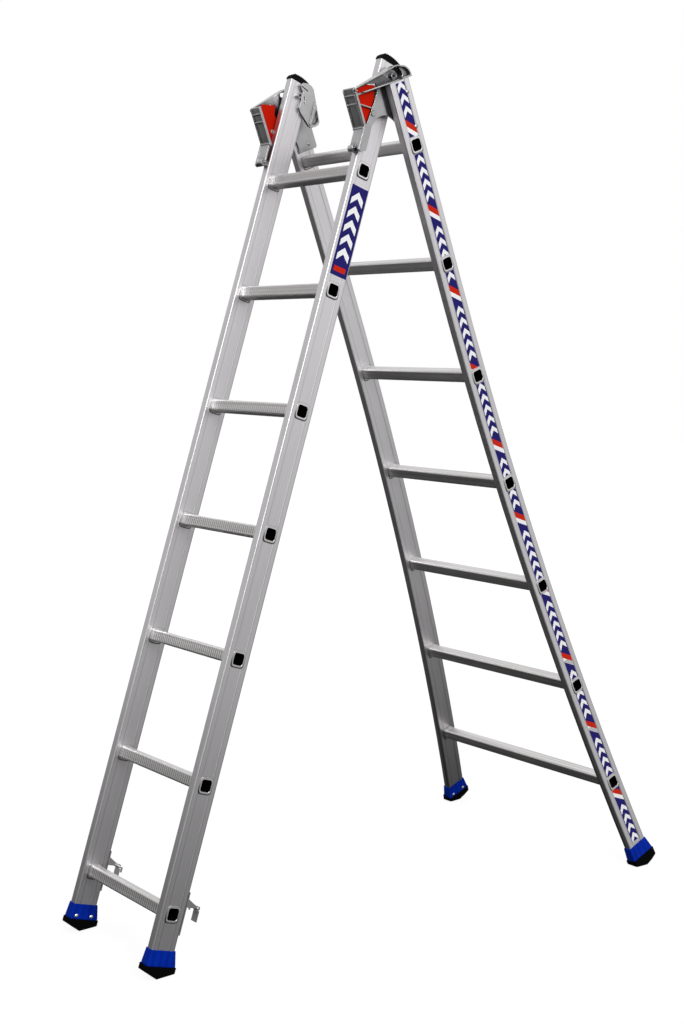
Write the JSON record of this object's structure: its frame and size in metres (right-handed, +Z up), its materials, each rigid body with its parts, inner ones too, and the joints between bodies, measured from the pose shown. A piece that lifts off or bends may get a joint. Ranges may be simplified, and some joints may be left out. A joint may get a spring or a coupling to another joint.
{
  "type": "multi position ladder",
  "caption": "Aluminium trestle ladder: two rung sections joined by hinge pins in cast head guides with red lock levers, flared rear stiles and blue feet with black rocker soles.",
  "frame": {"origin": "on the floor, at the middle of the width and of the depth between the front and rear soles", "axes": "+X to the right as seen from the front section, +Y from the front section to the rear section, +Z up"},
  "size_m": [0.7428, 1.4416, 1.9919],
  "materials": {
    "stile_aluminium": "extruded, satin",
    "rung_aluminium": "extruded, serrated",
    "cast_aluminium": "die cast, half bright",
    "bright_steel": "zinc plated",
    "hook_steel": "zinc plated sheet",
    "shoe_blue": "moulded",
    "sole_black": "matt",
    "cap_black": "moulded",
    "lever_red": "moulded"
  },
  "bodies": {
    "rear_section": {"rear_stile_left": "stile_aluminium", "rear_stile_right": "stile_aluminium", "rear_rung_1": "rung_aluminium", "rear_rung_2": "rung_aluminium", "rear_rung_3": "rung_aluminium", "rear_rung_4": "rung_aluminium", "rear_rung_5": "rung_aluminium", "rear_rung_6": "rung_aluminium", "rear_rung_7": "rung_aluminium", "rear_shoe_left": "shoe_blue", "rear_shoe_right": "shoe_blue", "rear_sole_left": "sole_black", "rear_sole_right": "sole_black", "rear_shoe_rivets": "bright_steel", "head_left": "cast_aluminium", "head_right": "cast_aluminium", "head_rivets": "bright_steel", "lock_pin_left": "bright_steel", "lock_pin_right": "bright_steel"},
    "front_section": {"front_stile_left": "stile_aluminium", "front_stile_right": "stile_aluminium", "front_rung_1": "rung_aluminium", "front_rung_2": "rung_aluminium", "front_rung_3": "rung_aluminium", "front_rung_4": "rung_aluminium", "front_rung_5": "rung_aluminium", "front_rung_6": "rung_aluminium", "front_rung_7": "rung_aluminium", "front_shoe_left": "shoe_blue", "front_shoe_right": "shoe_blue", "front_sole_left": "sole_black", "front_sole_right": "sole_black", "front_shoe_rivets": "bright_steel", "front_cap_left": "cap_black", "front_cap_right": "cap_black", "hook_plate_left": "cast_aluminium", "hook_plate_right": "cast_aluminium", "hinge_pin_left": "bright_steel", "hinge_pin_right": "bright_steel", "hinge_nut_left": "bright_steel", "hinge_nut_right": "bright_steel", "rung_hook_left": "hook_steel", "rung_hook_right": "hook_steel", "hook_pin_left": "bright_steel", "hook_pin_right": "bright_steel", "hook_rivets": "bright_steel"},
    "lock_lever_left": {"lock_lever_left": "lever_red"},
    "lock_lever_right": {"lock_lever_right": "lever_red"},
    "hook_tongue_left": {"hook_tongue_left": "hook_steel"},
    "hook_tongue_right": {"hook_tongue_right": "hook_steel"}
  },
  "joints": [
    {"name": "fold", "type": "hinge", "parent": "rear_section", "child": "front_section", "pos_m": [0, -0.06329, 1.9403], "axis": [1, 0, 0], "range_deg": [0, 20]},
    {"name": "lock_lever_left_swing", "type": "hinge", "parent": "rear_section", "child": "lock_lever_left", "pos_m": [-0.186, -0.12205, 1.85257], "axis": [1, 0, 0], "range_deg": [0, 4]},
    {"name": "lock_lever_right_swing", "type": "hinge", "parent": "rear_section", "child": "lock_lever_right", "pos_m": [0.186, -0.12205, 1.85257], "axis": [1, 0, 0], "range_deg": [0, 4]},
    {"name": "hook_tongue_left_swing", "type": "hinge", "parent": "front_section", "child": "hook_tongue_left", "pos_m": [-0.167, -0.58271, 0.12718], "axis": [1, 0, 0], "range_deg": [-60, 0]},
    {"name": "hook_tongue_right_swing", "type": "hinge", "parent": "front_section", "child": "hook_tongue_right", "pos_m": [0.167, -0.58271, 0.12718], "axis": [1, 0, 0], "range_deg": [-60, 0]}
  ]
}
